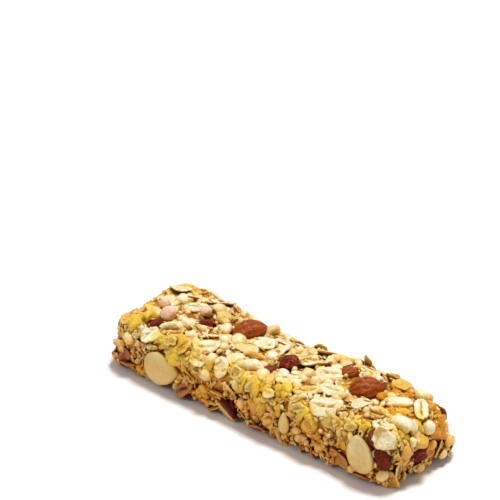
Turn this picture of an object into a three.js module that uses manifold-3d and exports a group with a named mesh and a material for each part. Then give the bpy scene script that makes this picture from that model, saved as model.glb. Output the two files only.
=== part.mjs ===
// A granola bar without its wrapper: a pressed block of oat flakes, grain crisps and golden dried fruit in
// honey syrup, with hazelnut pieces, almond slices and dried cranberries set in its skin.
//
// Millimetres, +Z up. The origin is on the table under the middle of the bar. +X runs along the bar to its
// right-hand end, and its front long side faces -Y.
//
// The bar is one solid, a core with its flakes, crisps and fruit fused on. Each nut, almond slice and
// cranberry is a solid of its own, in a pocket that is a little wider than it is.

import * as THREE from "three";
import { mergeVertices } from "three/addons/utils/BufferGeometryUtils.js";
import Module from "manifold-3d";

const wasm = await Module();
wasm.setup();

// ---- Driving sizes, in millimetres -----------------------------------------------------------------------

const LENGTH = 99.4; // of the bar's skin, which the pieces stand out of
const WIDTH = 28.4;
const HEIGHT = 16.2;
const ROUND = 6.4; // radius of the skin's edges and corners
const TUCK = 3; // how far the rounded block would reach below the table, which cuts it flat
const CORE_INSET = 0.9; // from the skin to the core that carries the pieces
const CORE_CELL = 4; // size of the core's faces
const CORE_RELIEF = 0.45; // height of the core's own bumps
const POCKET_GAP = 0.3; // clear space around a nut, an almond slice or a cranberry
const LEAST_EDGE = 0.4; // edges shorter than this are closed up
const FOLD = 0.6; // cosine of the most that a face may turn when an edge is closed up
const TABLE = 0.001; // a point lower than this lies on the table

const FLAKE_THICK = 1.5;
const FRUIT_DEPTH = 3;
const SUNK = { flake: 0.5, crisp: 0.9, fruit: 0.9 }; // how far each kind's middle lies below the skin
const LARGE_BALL = 6.2; // a nut or berry longer than this is made with more faces
const SLICE_THICK = 1.4;
const SLICE_EDGE = 0.3; // the bevel round an almond slice

// Slow unevenness of the skin: [x, y, z, rise, reach]. A negative rise is a hollow.
const SWELLS = [
  [-34, 10, 15, 1, 11],
  [-4, 13, 15, -1.2, 12],
  [30, 3, 16, 0.4, 9],
  [49, 13, 15, -2, 8],
  [-49, -6, 14, -0.8, 9],
  [-20, -14, 8, 0.5, 9],
  [20, 14, 7, 0.6, 11],
  [-49, -12, 1, 1, 5],
  [49, 12, 1, 1.2, 5],
  [49, -7, 0, -1.6, 4],
  [-3, -14, 0, -0.9, 5],
];

// ---- Pieces placed by hand -------------------------------------------------------------------------------
// Each place is a point near the skin, onto which it is moved. Turn is the long side's angle from the bar's
// length (from +Y on the ends) as seen from outside, and tip rolls the piece about its long side, in degrees.

// [x, y, z, length, width, depth, turn, lift]
const HAZELNUTS = [
  [29, 1.7, 16, 9.8, 8.4, 7.6, 55, -0.9],
  [-14.6, 4.4, 16, 10, 7, 6.5, 62, -0.4],
  [43.2, -12.5, 14.2, 5.4, 3.4, 3.2, -50, -0.9],
  [19.7, 5.6, 16, 5, 4.4, 3.6, 80, -0.6],
  [3, -6.6, 16, 4.6, 3.8, 3.4, 94, -1],
  [-8, 14.4, 9, 8.6, 7.4, 6.4, 20, -1.4],
  [34, 14.4, 8, 7.4, 6.2, 5.4, 120, -1.2],
  [-49.5, 3, 9, 7.8, 6.6, 5.6, 35, -1.2],
];

// [x, y, z, length, width, turn, tip, lift]
const ALMOND_SLICES = [
  [-29.2, -14.4, 6.5, 12.8, 9.8, 13, 0, 0.2],
  [40.6, -14.4, 8.9, 10.8, 8.8, 106, 0, 0.3],
  [-5.7, -13.8, 2.8, 7, 5, -35, 14, 0.1],
  [14.6, -14.4, 7.5, 6.4, 3.2, 92, 24, 0],
  [-32, 14.4, 9, 12.6, 8.8, -28, 8, 0.2],
  [14, 14.4, 8, 11.8, 8.6, 75, -6, 0.2],
  [-49.5, -7, 9, 8.4, 5.6, 70, 10, 0],
];

// [x, y, z, length, width, depth, turn, lift]
const CRANBERRIES = [
  [5.2, -1.4, 16, 5.6, 5, 4.8, 0, -0.1],
  [-35.9, -9.3, 15.5, 4.4, 3.8, 3.4, 60, -1],
  [-25.7, -0.8, 16, 5.2, 3.8, 3.4, 50, -1.1],
  [47.3, -13, 8.9, 5.4, 4, 3.4, -72, -0.5],
  [49.5, -0.8, 6, 6.6, 4, 3.4, -14, -0.9],
  [-18, 14.4, 10, 6, 4.8, 4, 40, -0.8],
  [44, 13.4, 10, 6.4, 5, 4, -25, -0.8],
];

// [x, y, z, length, width, turn, tip]
const PLACED_FLAKES = [
  [22.4, -4.3, 16, 7.2, 6, 10, 0],
  [16.5, 1.6, 16, 8.4, 5.6, 33, 6],
  [25.8, -10.8, 15.5, 9.6, 6.2, 20, 0],
  [32.5, -4.3, 16, 6.2, 5.2, 83, -8],
  [45.9, -11.4, 14, 6.4, 6, 0, 20],
  [29, -13, 13.5, 6.4, 4.2, 5, 10],
  [17.2, -8.7, 16, 7.6, 5.2, 35, -10],
  [18, -12.4, 14.5, 6, 4.8, 45, 15],
  [39.4, -5.4, 16, 8.6, 4.4, 0, 50],
  [43.2, -8.8, 16, 6, 4.8, 0, -12],
  [45.4, 3.6, 15.5, 7.6, 4, -44, 10],
  [-42.4, 7, 16, 7.6, 4.8, 45, 25],
  [-30.8, -9.2, 16, 6.4, 4.2, 38, 50],
  [-34.9, -12.4, 14, 5.8, 5.2, 25, -15],
  [-32.6, 3.7, 16, 6.4, 4.8, 36, 0],
  [-9, -2.8, 16, 7.4, 5.2, 15, -6],
  [-7.6, 2.9, 16, 7.8, 5.2, 15, 8],
  [-3.6, -5.9, 16, 7.8, 4.4, 17, 45],
  [-7.4, -8.8, 16, 5.4, 4.2, 45, 10],
  [-9.4, -12.4, 14, 6.2, 4.8, -58, 0],
  [-1.6, -10.8, 15.5, 9.8, 6.6, 34, 10],
  [10.2, -7.2, 16, 8.2, 5.2, 30, -4],
  [-42, -12.4, 14, 5.4, 3.8, -10, 20],
  [-26.2, -11.6, 15, 9.8, 5.4, 14, 0],
  [-17.4, -9.4, 16, 7.8, 5.2, 32, 10],
  [-17, -12.8, 13.5, 6, 4.2, 0, -12],
  [-20.8, -14.4, 4, 8.6, 4.8, 43, -35],
  [-47.4, -10.6, 4.5, 7.2, 5.2, 20, 30],
  [-42, -13.9, 2.5, 6.6, 4.6, 10, 40],
  [47.6, -10.6, 2.5, 6.6, 4.6, -60, 30],
  [41, -13.6, 2, 6, 4, 10, 40],
  [33.4, -14.2, 4.5, 7, 5, -20, 15],
  [5.6, -14, 2, 7, 5, 15, 40],
  [48.4, 12.4, 2.5, 6.6, 5, 10, -20],
];

// [x, y, z, length, width, turn]
const PLACED_CRISPS = [
  [-40.2, -1.4, 16, 3.4, 3.2, 0],
  [-35.4, -5.2, 16, 4, 3.9, 0],
  [-28.4, 2.2, 16, 3.5, 3.3, 0],
  [-29, -3.8, 16, 4.8, 4.4, 40],
  [-38.3, 3.4, 16, 3.6, 3.4, 0],
  [-24.2, 4.4, 16, 5.4, 4.4, -50],
  [-19.4, 0.4, 16, 4.6, 4, -50],
  [-15.6, -3.9, 16, 3.8, 3.6, 0],
  [-13.4, -6.6, 16, 3.2, 3, 0],
  [46.1, -4.4, 15.5, 5.8, 4.6, 30],
  [39.2, 2.4, 16, 8, 3.6, 29],
  [48.7, 2.8, 12.5, 4.4, 4, -60],
  [49.4, -1.5, 10.5, 4.7, 4.4, 0],
  [49.5, -7, 9.5, 4.8, 3.2, 78],
  [-13, -14.4, 11, 3.6, 3.4, 0],
  [-41.8, -14.2, 11, 4, 3.6, -77],
  [-0.8, -14.4, 7, 3.6, 3.2, 80],
  [9, -14.4, 6, 3.4, 3.2, 0],
  [-0.8, -1.4, 16, 3.8, 3.6, 0],
  [26.6, -13.6, 5, 3.6, 3.2, 0],
];

// [x, y, z, length, width, turn]
const PLACED_FRUIT = [
  [49.5, 6.6, 10, 7, 5.2, -30],
  [46, 8.4, 15, 4.8, 3.8, 30],
  [36.6, 6.6, 16, 6.4, 4.4, 5],
  [41.6, -2.4, 16, 6.4, 4, 5],
  [38, -11.6, 15, 6, 3.6, 30],
  [21.6, -14, 11.5, 7.4, 5.4, -20],
  [0.5, -13, 13.5, 8, 4.6, 15],
  [11.7, -11.4, 15, 5, 4, 0],
  [-24.6, -14, 12, 6.8, 5.2, -15],
  [-41.2, -9.8, 15.5, 7.2, 4.8, 68],
];

// ---- Pieces scattered over the rest of the skin ----------------------------------------------------------

const SEED = 20;
const TRIES = 6000; // throws for each kind
const CROWDING = 0.78; // how near two pieces may lie, as a share of their mean half sizes
const TIP_MOST = 16; // degrees
const LEAST_Z = 1.6; // scattered pieces start above the table

// In the order in which they are laid, so the largest come first.
const SCATTERED = [
  { kind: "flake", wanted: 76, length: [7.4, 9.6], width: [5.4, 6.8] },
  { kind: "fruit", wanted: 12, length: [5, 7], width: [4, 5] },
  { kind: "crisp", wanted: 36, length: [4.4, 5.6], width: [4, 4.6] },
];

const DEGREE = Math.PI / 180;
const ALONG = new THREE.Vector3(1, 0, 0);
const ACROSS = new THREE.Vector3(0, 1, 0);

/** Random numbers from 0 to 1 that are the same on every run. */
function seeded(seed) {
  let state = seed;
  return () => {
    state = (state + 0x6d2b79f5) | 0;
    let t = Math.imul(state ^ (state >>> 15), state | 1);
    t ^= t + Math.imul(t ^ (t >>> 7), t | 61);
    return ((t ^ (t >>> 14)) >>> 0) / 2 ** 32;
  };
}

// ---- The skin --------------------------------------------------------------------------------------------

const CORE_LOW = new THREE.Vector3(ROUND - LENGTH / 2, ROUND - WIDTH / 2, ROUND - TUCK);
const CORE_HIGH = new THREE.Vector3(LENGTH / 2 - ROUND, WIDTH / 2 - ROUND, HEIGHT - ROUND);

/** How far the skin swells out of the plain rounded block near a point. */
function swell(point) {
  let sum = 0;
  for (const [x, y, z, rise, reach] of SWELLS) {
    const away = Math.hypot(point.x - x, point.y - y, point.z - z);
    sum += rise * Math.exp(-((away / reach) ** 2));
  }
  return sum;
}

/** The point of the skin nearest to a point outside the block's middle, and the outward normal there. */
function skinAt(point) {
  const inner = point.clone().clamp(CORE_LOW, CORE_HIGH);
  const normal = point.clone().sub(inner).normalize();
  const at = inner.addScaledVector(normal, ROUND);
  at.addScaledVector(normal, swell(at));
  return { at, normal };
}

/** A matrix that lays a shape on the skin: its X is the long side, its Z points outwards. */
function layOnSkin(point, turn, tip, lift) {
  const { at, normal } = skinAt(point);
  const from = Math.abs(normal.x) < 0.8 ? ALONG : ACROSS;
  const first = from.clone().addScaledVector(normal, -from.dot(normal)).normalize();
  const second = normal.clone().cross(first);
  const long = first
    .clone()
    .multiplyScalar(Math.cos(turn * DEGREE))
    .addScaledVector(second, Math.sin(turn * DEGREE));
  const wide = normal.clone().cross(long).applyAxisAngle(long, tip * DEGREE);
  const out = long.clone().cross(wide);
  return new THREE.Matrix4().makeBasis(long, wide, out).setPosition(at.addScaledVector(normal, lift));
}

// ---- Solids ----------------------------------------------------------------------------------------------

/** A closed geometry, placed by a matrix, as a manifold-3d solid. */
function solidOf(geometry, matrix = new THREE.Matrix4()) {
  const loose = geometry.index ? geometry.toNonIndexed() : geometry.clone();
  const placed = new THREE.BufferGeometry()
    .setAttribute("position", loose.getAttribute("position"))
    .applyMatrix4(matrix);
  const merged = mergeVertices(placed, 1e-4);
  const mesh = new wasm.Mesh({
    numProp: 3,
    vertProperties: merged.attributes.position.array,
    triVerts: new Uint32Array(merged.index.array),
  });
  return new wasm.Manifold(mesh);
}

/** A manifold-3d solid as a geometry. */
function geometryOf(solid) {
  const made = solid.getMesh();
  const geometry = new THREE.BufferGeometry()
    .setAttribute("position", new THREE.BufferAttribute(made.vertProperties, 3))
    .setIndex(new THREE.BufferAttribute(made.triVerts, 1));
  geometry.computeVertexNormals();
  return geometry;
}

/** A solid whose short edges are closed up, shortest first, where that neither pinches nor folds it. */
function welded(solid, least) {
  const { vertProperties, triVerts } = solid.getMesh();
  const places = Array.from({ length: vertProperties.length / 3 }, (_, i) =>
    new THREE.Vector3().fromArray(vertProperties, 3 * i),
  );
  const around = places.map(() => new Set()); // the faces at each vertex
  for (let i = 0; i < triVerts.length; i += 3) {
    const face = [...triVerts.slice(i, i + 3)];
    for (const a of face) around[a].add(face);
  }
  const normalOf = (face) => new THREE.Triangle(...face.map((a) => places[a])).getNormal(new THREE.Vector3());
  const neighbours = (a) => new Set([...around[a]].flat().filter((b) => b !== a));
  const edges = places.flatMap((at, a) =>
    [...neighbours(a)].map((b) => [a, b, at.distanceTo(places[b])]).filter(([, , long]) => long < least),
  );
  for (const [a, b] of edges.sort((e, f) => e[2] - f[2])) {
    const shared = [...around[b]].filter((face) => face.includes(a));
    const offTable = places[b].z < TABLE && places[a].z > TABLE; // the flat bottom stays flat
    if (shared.length !== 2 || offTable) continue;
    const near = neighbours(a);
    if ([...neighbours(b)].filter((c) => near.has(c)).length !== 2) continue;
    const moved = [...around[b]].filter((face) => !face.includes(a));
    const after = (face) => face.map((c) => (c === b ? a : c));
    if (moved.some((face) => normalOf(face).dot(normalOf(after(face))) < FOLD)) continue;
    for (const face of shared) for (const c of face) around[c].delete(face);
    for (const face of moved) {
      face[face.indexOf(b)] = a;
      around[a].add(face);
    }
    around[b].clear();
  }
  const closed = new wasm.Mesh({
    numProp: 3,
    vertProperties,
    triVerts: Uint32Array.from([...new Set(around.flatMap((at) => [...at]))].flat()),
  });
  return new wasm.Manifold(closed);
}

/** Moves each vertex of a geometry by a function that changes it in place. */
function reshape(geometry, change) {
  const position = geometry.getAttribute("position");
  const vertex = new THREE.Vector3();
  for (let i = 0; i < position.count; i++) {
    vertex.fromBufferAttribute(position, i);
    change(vertex);
    position.setXYZ(i, vertex.x, vertex.y, vertex.z);
  }
  return geometry;
}

/** An oat flake: a rolled disc with a thin rim. */
function flake(length, width) {
  const profile = [
    [0, -0.5],
    [0.93, -0.3],
    [0.93, 0.26],
    [0, 0.5],
  ];
  return new THREE.LatheGeometry(profile.map(([r, h]) => new THREE.Vector2(r, h)), 7)
    .rotateX(Math.PI / 2)
    .scale(length / 2, width / 2, FLAKE_THICK);
}

/** A puffed grain crisp: a small egg. */
function crisp(length, width) {
  return new THREE.IcosahedronGeometry(1, 0).scale(length / 2, width / 2, width / 2);
}

/** A golden dried fruit chunk with blunt corners. */
function fruit(length, width) {
  return new THREE.IcosahedronGeometry(1, 0).scale(length / 2, width / 2, FRUIT_DEPTH / 2);
}

/** A ball for a nut or a berry, with more faces when it is large. */
function ball(length) {
  return new THREE.IcosahedronGeometry(1, length > LARGE_BALL ? 2 : 1);
}

/** A hazelnut piece, pointed at its +X end. */
function hazelnut(length, width, depth) {
  const egg = reshape(ball(length), (v) => {
    const point = Math.max(0, v.x) ** 3;
    v.set(v.x + 0.12 * point, v.y * (1 - 0.22 * point), v.z * (1 - 0.22 * point));
  });
  return egg.scale(length / 2.1, width / 2, depth / 2);
}

/** A dried cranberry: an egg folded into wrinkles along its length. */
function cranberry(length, width, depth) {
  const egg = reshape(ball(length), (v) => {
    const fold = 1 - 0.13 * Math.cos(5 * Math.atan2(v.z, v.y)) * (1 - v.x * v.x);
    v.set(v.x, v.y * fold, v.z * fold);
  });
  return egg.scale(length / 2, width / 2, depth / 2);
}

/** An almond slice: a flat drop whose tip is at its +X end. */
function almondSlice(length, width) {
  const outline = new THREE.Shape();
  const steps = 18;
  for (let i = 0; i < steps; i++) {
    const angle = (2 * Math.PI * i) / steps;
    const half = Math.sin(angle) * Math.abs(Math.sin(angle / 2)) ** 0.5;
    const x = (length / 2 - SLICE_EDGE) * Math.cos(angle);
    const y = (width / 2 - SLICE_EDGE) * 1.13 * half;
    if (i === 0) outline.moveTo(x, y);
    else outline.lineTo(x, y);
  }
  return new THREE.ExtrudeGeometry(outline, {
    depth: SLICE_THICK - 2 * SLICE_EDGE,
    bevelThickness: SLICE_EDGE,
    bevelSize: SLICE_EDGE,
    bevelSegments: 1,
    steps: 1,
    curveSegments: 1,
  }).translate(0, 0, SLICE_EDGE - SLICE_THICK / 2);
}

/** The core: a block on the skin's form, a little inside it, with bumps of its own. */
function core() {
  const cells = (size) => Math.round(size / CORE_CELL);
  const tall = HEIGHT + TUCK;
  const block = new THREE.BoxGeometry(
    LENGTH,
    WIDTH,
    tall,
    cells(LENGTH),
    cells(WIDTH),
    cells(tall),
  ).translate(0, 0, HEIGHT - tall / 2);
  const bumpy = reshape(block, (v) => {
    const { at, normal } = skinAt(v);
    const bump = Math.sin(1.3 * v.x) * Math.sin(1.7 * v.y + 0.6) + Math.sin(1.1 * v.z + 0.9 * v.x);
    v.copy(at).addScaledVector(normal, (CORE_RELIEF * bump) / 2 - CORE_INSET);
  });
  return solidOf(bumpy);
}

// ---- Laying the pieces -----------------------------------------------------------------------------------

const laid = []; // {kind, at, length, width, turn, tip}

function lay(kind, x, y, z, length, width, turn, tip = 0) {
  laid.push({ kind, at: new THREE.Vector3(x, y, z), length, width, turn, tip });
}

for (const [x, y, z, length, width, , turn] of HAZELNUTS) lay("nut", x, y, z, length, width, turn);
for (const [x, y, z, length, width, turn] of ALMOND_SLICES) lay("nut", x, y, z, length, width, turn);
for (const [x, y, z, length, width, , turn] of CRANBERRIES) lay("nut", x, y, z, length, width, turn);
for (const row of PLACED_FLAKES) lay("flake", ...row);
for (const row of PLACED_CRISPS) lay("crisp", ...row);
for (const row of PLACED_FRUIT) lay("fruit", ...row);

/** A point thrown evenly at the top, the long sides and the ends. */
function thrownPoint(random) {
  const areas = [LENGTH * WIDTH, 2 * LENGTH * HEIGHT, 2 * WIDTH * HEIGHT];
  const pick = random() * (areas[0] + areas[1] + areas[2]);
  const a = random() - 0.5;
  const b = random();
  const side = random() < 0.5 ? -0.5 : 0.5;
  if (pick < areas[0]) return new THREE.Vector3(a * LENGTH, (b - 0.5) * WIDTH, HEIGHT);
  if (pick < areas[0] + areas[1]) return new THREE.Vector3(a * LENGTH, side * WIDTH, b * HEIGHT);
  return new THREE.Vector3(side * LENGTH, a * WIDTH, b * HEIGHT);
}

/** Whether a piece of this size would lie too close to one that is laid already. */
function crowded(at, length, width) {
  const half = (length + width) / 4;
  return laid.some((o) => {
    const room = CROWDING * (half + (o.length + o.width) / 4);
    return o.at.distanceTo(at) < room;
  });
}

const random = seeded(SEED);
const between = ([least, most]) => least + (most - least) * random();
for (const { kind, wanted, length, width } of SCATTERED) {
  let count = 0;
  for (let i = 0; i < TRIES && count < wanted; i++) {
    const { at } = skinAt(thrownPoint(random));
    const size = [between(length), between(width)];
    const turn = between([0, 180]);
    const tip = between([-TIP_MOST, TIP_MOST]);
    if (at.z < LEAST_Z || crowded(at, ...size)) continue;
    lay(kind, at.x, at.y, at.z, ...size, turn, tip);
    count++;
  }
}

// ---- Building the bar ------------------------------------------------------------------------------------

const look = (color, roughness) => new THREE.MeshStandardMaterial({ color, roughness, metalness: 0 });
const BAR_LOOK = look("#dcb468", 0.45);
const HAZELNUT_LOOK = look("#7d4526", 0.4);
const ALMOND_LOOK = look("#d6c08a", 0.6);
const CRANBERRY_LOOK = look("#5a1713", 0.35);

const group = new THREE.Group();
const pockets = [];

/** Adds a named mesh to the group. */
function add(name, geometry, material) {
  const mesh = new THREE.Mesh(geometry, material);
  mesh.name = name;
  group.add(mesh);
  return mesh;
}

/** Sets a nut, an almond slice or a cranberry in the skin, and notes the pocket that it needs. */
function setIn(name, geometry, size, matrix, material) {
  add(name, geometry, material).applyMatrix4(matrix);
  const wider = size.map((s) => (s + 2 * POCKET_GAP) / s);
  pockets.push(solidOf(geometry.clone().scale(...wider), matrix));
}

HAZELNUTS.forEach(([x, y, z, length, width, depth, turn, lift], i) => {
  const matrix = layOnSkin(new THREE.Vector3(x, y, z), turn, 0, lift);
  const size = [length, width, depth];
  setIn(`hazelnut_${i + 1}`, hazelnut(...size), size, matrix, HAZELNUT_LOOK);
});

ALMOND_SLICES.forEach(([x, y, z, length, width, turn, tip, lift], i) => {
  const matrix = layOnSkin(new THREE.Vector3(x, y, z), turn, tip, lift);
  const size = [length, width, SLICE_THICK];
  setIn(`almond_slice_${i + 1}`, almondSlice(length, width), size, matrix, ALMOND_LOOK);
});

CRANBERRIES.forEach(([x, y, z, length, width, depth, turn, lift], i) => {
  const matrix = layOnSkin(new THREE.Vector3(x, y, z), turn, 0, lift);
  const size = [length, width, depth];
  setIn(`cranberry_${i + 1}`, cranberry(...size), size, matrix, CRANBERRY_LOOK);
});

const SHAPES = { flake, crisp, fruit };
let bar = core();
for (const { kind, at, length, width, turn, tip } of laid) {
  if (kind === "nut") continue;
  const matrix = layOnSkin(at, turn, tip, -SUNK[kind]);
  bar = bar.add(solidOf(SHAPES[kind](length, width), matrix));
}
for (const pocket of pockets) bar = bar.subtract(pocket);

// The table cuts the block flat, slivers left where pieces meet are closed up, and a scrap that the pockets
// cut loose is dropped.
const below = new THREE.BoxGeometry(2 * LENGTH, 2 * WIDTH, 2 * HEIGHT).translate(0, 0, -HEIGHT);
bar = welded(bar.subtract(solidOf(below)), LEAST_EDGE);
const biggest = bar.decompose().sort((a, b) => b.volume() - a.volume())[0];
add("bar", geometryOf(biggest), BAR_LOOK);

export default group;
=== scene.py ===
"""An unwrapped granola bar: oat flakes, grain crisps and golden fruit in syrup, with nuts and cranberries.

Sizes are in millimetres and become metres when a mesh is made. The bar lies along X on the table, with its
front long side facing -Y. Its skin and the first pieces on it are those of the CAD model.
"""

import math

import bpy
import numpy as np
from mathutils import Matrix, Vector


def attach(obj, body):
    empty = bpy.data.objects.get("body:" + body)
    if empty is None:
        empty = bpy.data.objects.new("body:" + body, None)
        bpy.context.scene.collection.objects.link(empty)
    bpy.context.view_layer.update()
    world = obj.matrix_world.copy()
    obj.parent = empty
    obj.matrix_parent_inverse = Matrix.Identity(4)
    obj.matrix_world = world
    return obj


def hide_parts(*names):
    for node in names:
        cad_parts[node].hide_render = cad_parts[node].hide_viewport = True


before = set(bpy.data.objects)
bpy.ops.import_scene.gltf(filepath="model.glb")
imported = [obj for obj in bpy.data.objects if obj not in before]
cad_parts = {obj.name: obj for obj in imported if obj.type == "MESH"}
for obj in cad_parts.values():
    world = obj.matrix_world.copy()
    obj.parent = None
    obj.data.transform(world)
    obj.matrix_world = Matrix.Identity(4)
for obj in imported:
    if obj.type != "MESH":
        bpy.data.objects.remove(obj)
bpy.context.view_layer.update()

MM = 0.001
scene = bpy.context.scene

# ---- The skin, as in the CAD model ----

LENGTH, WIDTH, HEIGHT = 99.4, 28.4, 16.2
ROUND = 6.4
TUCK = 3
SWELLS = [  # x, y, z, rise, reach
    (-34, 10, 15, 1, 11),
    (-4, 13, 15, -1.2, 12),
    (30, 3, 16, 0.4, 9),
    (49, 13, 15, -2, 8),
    (-49, -6, 14, -0.8, 9),
    (-20, -14, 8, 0.5, 9),
    (20, 14, 7, 0.6, 11),
    (-49, -12, 1, 1, 5),
    (49, 12, 1, 1.2, 5),
    (49, -7, 0, -1.6, 4),
    (-3, -14, 0, -0.9, 5),
]

# ---- The pieces placed one by one, as in the CAD model ----

# x, y, z, length, width, depth, turn, lift
HAZELNUTS = [
    (29, 1.7, 16, 9.8, 8.4, 7.6, 55, -0.9),
    (-14.6, 4.4, 16, 10, 7, 6.5, 62, -0.4),
    (43.2, -12.5, 14.2, 5.4, 3.4, 3.2, -50, -0.9),
    (19.7, 5.6, 16, 5, 4.4, 3.6, 80, -0.6),
    (3, -6.6, 16, 4.6, 3.8, 3.4, 94, -1),
    (-8, 14.4, 9, 8.6, 7.4, 6.4, 20, -1.4),
    (34, 14.4, 8, 7.4, 6.2, 5.4, 120, -1.2),
    (-49.5, 3, 9, 7.8, 6.6, 5.6, 35, -1.2),
]
CRANBERRIES = [
    (5.2, -1.4, 16, 5.6, 5, 4.8, 0, -0.1),
    (-35.9, -9.3, 15.5, 4.4, 3.8, 3.4, 60, -1),
    (-25.7, -0.8, 16, 5.2, 3.8, 3.4, 50, -1.1),
    (47.3, -13, 8.9, 5.4, 4, 3.4, -72, -0.5),
    (49.5, -0.8, 6, 6.6, 4, 3.4, -14, -0.9),
    (-18, 14.4, 10, 6, 4.8, 4, 40, -0.8),
    (44, 13.4, 10, 6.4, 5, 4, -25, -0.8),
]
# x, y, z, length, width, turn, tip, lift
ALMOND_SLICES = [
    (-29.2, -14.4, 6.5, 12.8, 9.8, 13, 0, 0.2),
    (40.6, -14.4, 8.9, 10.8, 8.8, 106, 0, 0.3),
    (-5.7, -13.8, 2.8, 7, 5, -35, 14, 0.1),
    (14.6, -14.4, 7.5, 6.4, 3.2, 92, 24, 0),
    (-32, 14.4, 9, 12.6, 8.8, -28, 8, 0.2),
    (14, 14.4, 8, 11.8, 8.6, 75, -6, 0.2),
    (-49.5, -7, 9, 8.4, 5.6, 70, 10, 0),
]
SLICE_THICK = 1.4

# x, y, z, length, width, turn, tip, look. The letters of a look are b brown, c creased, g golden, j jagged,
# o orange, p pink, r raisin, s smooth, u upon others, w white and y yellow.
PLACED_FLAKES = [
    (22.4, -4.3, 16, 7.2, 6, 10, 0, "cw"),
    (16.5, 1.6, 16, 8.4, 5.6, 33, 6, "cw"),
    (25.8, -10.8, 15.5, 9.6, 6.2, 20, 0, "cw"),
    (32.5, -4.3, 16, 6.2, 5.2, 83, -8, "w"),
    (45.9, -11.4, 14, 6.4, 6, 0, 20, "wju"),
    (29, -13, 13.5, 6.4, 4.2, 5, 10, ""),
    (17.2, -8.7, 16, 7.6, 5.2, 35, -10, "y"),
    (18, -12.4, 14.5, 6, 4.8, 45, 15, ""),
    (39.4, -5.4, 16, 8.6, 4.4, 0, 50, ""),
    (43.2, -8.8, 16, 6, 4.8, 0, -12, "w"),
    (45.4, 3.6, 15.5, 7.6, 4, -44, 10, "cwu"),
    (-42.4, 7, 16, 7.6, 4.8, 45, 25, "y"),
    (-30.8, -9.2, 16, 6.4, 4.2, 38, 50, "w"),
    (-34.9, -12.4, 14, 5.8, 5.2, 25, -15, "wj"),
    (-32.6, 3.7, 16, 6.4, 4.8, 36, 0, "cw"),
    (-9, -2.8, 16, 7.4, 5.2, 15, -6, ""),
    (-7.6, 2.9, 16, 7.8, 5.2, 15, 8, "w"),
    (-3.6, -5.9, 16, 7.8, 4.4, 17, 45, "g"),
    (-7.4, -8.8, 16, 5.4, 4.2, 45, 10, "w"),
    (-9.4, -12.4, 14, 6.2, 4.8, -58, 0, ""),
    (-1.6, -10.8, 15.5, 9.8, 6.6, 34, 10, "cw"),
    (10.2, -7.2, 16, 8.2, 5.2, 30, -4, "cw"),
    (-42, -12.4, 14, 5.4, 3.8, -10, 20, "wj"),
    (-26.2, -11.6, 15, 9.8, 5.4, 14, 0, "y"),
    (-17.4, -9.4, 16, 7.8, 5.2, 32, 10, "w"),
    (-17, -12.8, 13.5, 6, 4.2, 0, -12, ""),
    (-20.8, -14.4, 4, 8.6, 4.8, 43, -35, "b"),
    (-47.4, -10.6, 4.5, 7.2, 5.2, 20, 30, "b"),
    (-42, -13.9, 2.5, 6.6, 4.6, 10, 40, "b"),
    (47.6, -10.6, 2.5, 6.6, 4.6, -60, 30, "y"),
    (41, -13.6, 2, 6, 4, 10, 40, "b"),
    (33.4, -14.2, 4.5, 7, 5, -20, 15, "b"),
    (5.6, -14, 2, 7, 5, 15, 40, "b"),
    (48.4, 12.4, 2.5, 6.6, 5, 10, -20, "w"),
]
# x, y, z, length, width, turn, look
PLACED_CRISPS = [
    (-40.2, -1.4, 16, 3.4, 3.2, 0, "p"),
    (-35.4, -5.2, 16, 4, 3.9, 0, "p"),
    (-28.4, 2.2, 16, 3.5, 3.3, 0, "p"),
    (-29, -3.8, 16, 4.8, 4.4, 40, "w"),
    (-38.3, 3.4, 16, 3.6, 3.4, 0, "w"),
    (-24.2, 4.4, 16, 5.4, 4.4, -50, "y"),
    (-19.4, 0.4, 16, 4.6, 4, -50, "w"),
    (-15.6, -3.9, 16, 3.8, 3.6, 0, "w"),
    (-13.4, -6.6, 16, 3.2, 3, 0, ""),
    (46.1, -4.4, 15.5, 5.8, 4.6, 30, "w"),
    (39.2, 2.4, 16, 8, 3.6, 29, "w"),
    (48.7, 2.8, 12.5, 4.4, 4, -60, "w"),
    (49.4, -1.5, 10.5, 4.7, 4.4, 0, "g"),
    (49.5, -7, 9.5, 4.8, 3.2, 78, "g"),
    (-13, -14.4, 11, 3.6, 3.4, 0, ""),
    (-41.8, -14.2, 11, 4, 3.6, -77, ""),
    (-0.8, -14.4, 7, 3.6, 3.2, 80, ""),
    (9, -14.4, 6, 3.4, 3.2, 0, ""),
    (-0.8, -1.4, 16, 3.8, 3.6, 0, "w"),
    (26.6, -13.6, 5, 3.6, 3.2, 0, ""),
]
PLACED_FRUIT = [
    (49.5, 6.6, 10, 7, 5.2, -30, "o"),
    (46, 8.4, 15, 4.8, 3.8, 30, "o"),
    (36.6, 6.6, 16, 6.4, 4.4, 5, "o"),
    (41.6, -2.4, 16, 6.4, 4, 5, "o"),
    (38, -11.6, 15, 6, 3.6, 30, ""),
    (21.6, -14, 11.5, 7.4, 5.4, -20, ""),
    (0.5, -13, 13.5, 8, 4.6, 15, ""),
    (11.7, -11.4, 15, 5, 4, 0, ""),
    (-24.6, -14, 12, 6.8, 5.2, -15, ""),
    (-41.2, -9.8, 15.5, 7.2, 4.8, 68, ""),
]
SUNK = {"flake": 0.5, "crisp": 0.9, "fruit": 0.9}

# ---- The pieces scattered between them, as in the CAD model ----

SEED = 20
TRIES = 6000
CROWDING = 0.78
TIP_MOST = 16
LEAST_Z = 1.6
SCATTERED = [  # kind, wanted, length, width
    ("flake", 76, (7.4, 9.6), (5.4, 6.8)),
    ("fruit", 12, (5, 7), (4, 5)),
    ("crisp", 36, (4.4, 5.6), (4, 4.6)),
]

# ---- Smaller pieces that fill the gaps, which only this visual model has ----

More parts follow.
